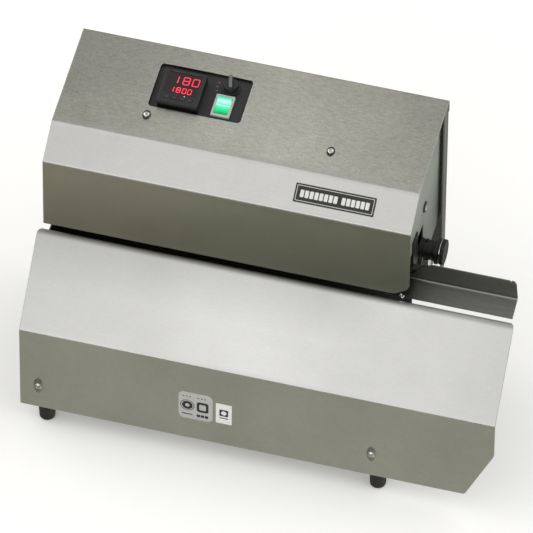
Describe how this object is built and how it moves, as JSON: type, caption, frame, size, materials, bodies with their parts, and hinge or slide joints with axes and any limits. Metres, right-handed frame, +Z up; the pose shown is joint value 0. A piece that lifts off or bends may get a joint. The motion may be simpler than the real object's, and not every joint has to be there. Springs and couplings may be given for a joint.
{
  "type": "continuous band sealer",
  "caption": "Bench-top continuous band sealer: folded stainless hood over a sloping base, film slot, infeed guide at the right, temperature controller, lit rocker switch and speed dial.",
  "frame": {"origin": "centre of the bounding box in plan, at the soles of the feet", "axes": "+X along the length towards the infeed end, +Y to the rear, +Z up"},
  "size_m": [0.563, 0.2582, 0.4003],
  "materials": {
    "cover_steel": "fine horizontal brushing, semi-matt",
    "panel_steel": "brushed, a little darker",
    "tray_steel": "mill finish",
    "guide_steel": "dark brushed stainless",
    "screw_steel": "polished heads",
    "bright_steel": "ground",
    "foot_rubber": "matt",
    "belt_ptfe": "coated woven belt",
    "alu": "turned",
    "brass": "milled",
    "gear_plastic": "moulded",
    "motor_paint": "satin black",
    "black_plastic": "fine texture",
    "black_paint": "satin",
    "display": "smoked window",
    "key_plastic": "small keys",
    "bezel_plastic": "light grey",
    "lit_green": "lit, translucent",
    "label_black": "printed plate",
    "label_silver": "silver foil",
    "label_white": "white",
    "board_green": "circuit board"
  },
  "bodies": {
    "machine": {"base_cover": "cover_steel", "hood_cover": "cover_steel", "base_back": "panel_steel", "hood_back": "panel_steel", "hood_side_left": "panel_steel", "hood_side_right": "panel_steel", "base_side_left": "panel_steel", "base_side_right": "panel_steel", "base_tray": "tray_steel", "mechanism_legs": "tray_steel", "hood_brackets": "tray_steel", "motor_bracket": "tray_steel", "infeed_guide": "guide_steel", "base_front_screws": "screw_steel", "back_screws": "screw_steel", "hood_screws": "screw_steel", "foot_screws": "screw_steel", "tension_spindle": "bright_steel", "spindle_bracket": "bright_steel", "roller_axles": "bright_steel", "block_studs": "bright_steel", "heater_cartridges": "bright_steel", "rubber_feet": "foot_rubber", "belt_upper": "belt_ptfe", "belt_lower": "belt_ptfe", "cooling_blocks": "alu", "heater_blocks": "brass", "shaft_bushes": "brass", "gearmotor": "motor_paint", "control_plate": "black_plastic", "controller_case": "black_plastic", "spindle_bush": "black_plastic", "power_inlet": "black_plastic", "speed_pot": "black_plastic", "guide_hanger": "black_paint", "mechanism_plate": "black_paint", "controller_window": "display", "rocker_bezel": "bezel_plastic", "name_plate": "label_black", "silver_sticker": "label_silver", "white_sticker": "label_white", "control_board": "board_green"},
    "drive_lower": {"drive_pulley_lower": "alu", "drive_shaft_lower": "bright_steel", "drive_gear_lower": "gear_plastic"},
    "drive_upper": {"drive_pulley_upper": "alu", "drive_shaft_upper": "bright_steel", "drive_gear_upper": "gear_plastic"},
    "idler_lower": {"idler_pulley_lower": "alu"},
    "idler_upper": {"idler_pulley_upper": "alu"},
    "press_lower": {"press_roller_lower": "foot_rubber"},
    "press_upper": {"press_roller_upper": "foot_rubber"},
    "pinion": {"motor_pinion": "gear_plastic"},
    "tension": {"tension_knob": "black_plastic"},
    "dial": {"speed_knob": "black_plastic"},
    "rocker": {"rocker_button": "lit_green"},
    "key_1": {"controller_key_1": "key_plastic"},
    "key_2": {"controller_key_2": "key_plastic"},
    "key_3": {"controller_key_3": "key_plastic"},
    "key_4": {"controller_key_4": "key_plastic"}
  },
  "joints": [
    {"name": "drive_lower_spin", "type": "hinge", "parent": "machine", "child": "drive_lower", "pos_m": [-0.2365, 0.00475, 0.21775], "axis": [0, 1, 0], "continuous": true},
    {"name": "drive_upper_spin", "type": "hinge", "parent": "machine", "child": "drive_upper", "pos_m": [-0.2365, 0.00475, 0.25975], "axis": [0, 1, 0], "continuous": true},
    {"name": "idler_lower_spin", "type": "hinge", "parent": "machine", "child": "idler_lower", "pos_m": [0.1235, 0.00475, 0.21775], "axis": [0, 1, 0], "continuous": true},
    {"name": "idler_upper_spin", "type": "hinge", "parent": "machine", "child": "idler_upper", "pos_m": [0.1235, 0.00475, 0.25975], "axis": [0, 1, 0], "continuous": true},
    {"name": "press_lower_spin", "type": "hinge", "parent": "machine", "child": "press_lower", "pos_m": [0.0735, 0.00475, 0.22665], "axis": [0, 1, 0], "continuous": true},
    {"name": "press_upper_spin", "type": "hinge", "parent": "machine", "child": "press_upper", "pos_m": [0.0735, 0.00475, 0.25085], "axis": [0, 1, 0], "continuous": true},
    {"name": "pinion_spin", "type": "hinge", "parent": "machine", "child": "pinion", "pos_m": [-0.2185, 0.00475, 0.18657], "axis": [0, 1, 0], "continuous": true},
    {"name": "tension_turn", "type": "hinge", "parent": "machine", "child": "tension", "pos_m": [0.1785, 0.02975, 0.2495], "axis": [1, 0, 0], "range_deg": [-360, 360]},
    {"name": "dial_turn", "type": "hinge", "parent": "machine", "child": "dial", "pos_m": [-0.09, 0.08622, 0.38379], "axis": [0, -0.199, 0.98], "range_deg": [-135, 135]},
    {"name": "rocker_tilt", "type": "hinge", "parent": "machine", "child": "rocker", "pos_m": [-0.0925, 0.05995, 0.37999], "axis": [1, 0, 0], "range_deg": [-19, 0]},
    {"name": "key_1_press", "type": "slide", "parent": "machine", "child": "key_1", "axis": [0, -0.199, 0.98], "range_m": [-0.0008, 0], "stiffness_N_per_m": 250},
    {"name": "key_2_press", "type": "slide", "parent": "machine", "child": "key_2", "axis": [0, -0.199, 0.98], "range_m": [-0.0008, 0], "stiffness_N_per_m": 250},
    {"name": "key_3_press", "type": "slide", "parent": "machine", "child": "key_3", "axis": [0, -0.199, 0.98], "range_m": [-0.0008, 0], "stiffness_N_per_m": 250},
    {"name": "key_4_press", "type": "slide", "parent": "machine", "child": "key_4", "axis": [0, -0.199, 0.98], "range_m": [-0.0008, 0], "stiffness_N_per_m": 250}
  ],
  "couplings": [
    {"joint": "drive_upper_spin", "follows": "drive_lower_spin", "ratio": -1},
    {"joint": "idler_lower_spin", "follows": "drive_lower_spin", "ratio": 1},
    {"joint": "idler_upper_spin", "follows": "drive_lower_spin", "ratio": -1},
    {"joint": "press_lower_spin", "follows": "drive_lower_spin", "ratio": 1.89},
    {"joint": "press_upper_spin", "follows": "drive_lower_spin", "ratio": -1.89},
    {"joint": "pinion_spin", "follows": "drive_lower_spin", "ratio": -1.4}
  ]
}
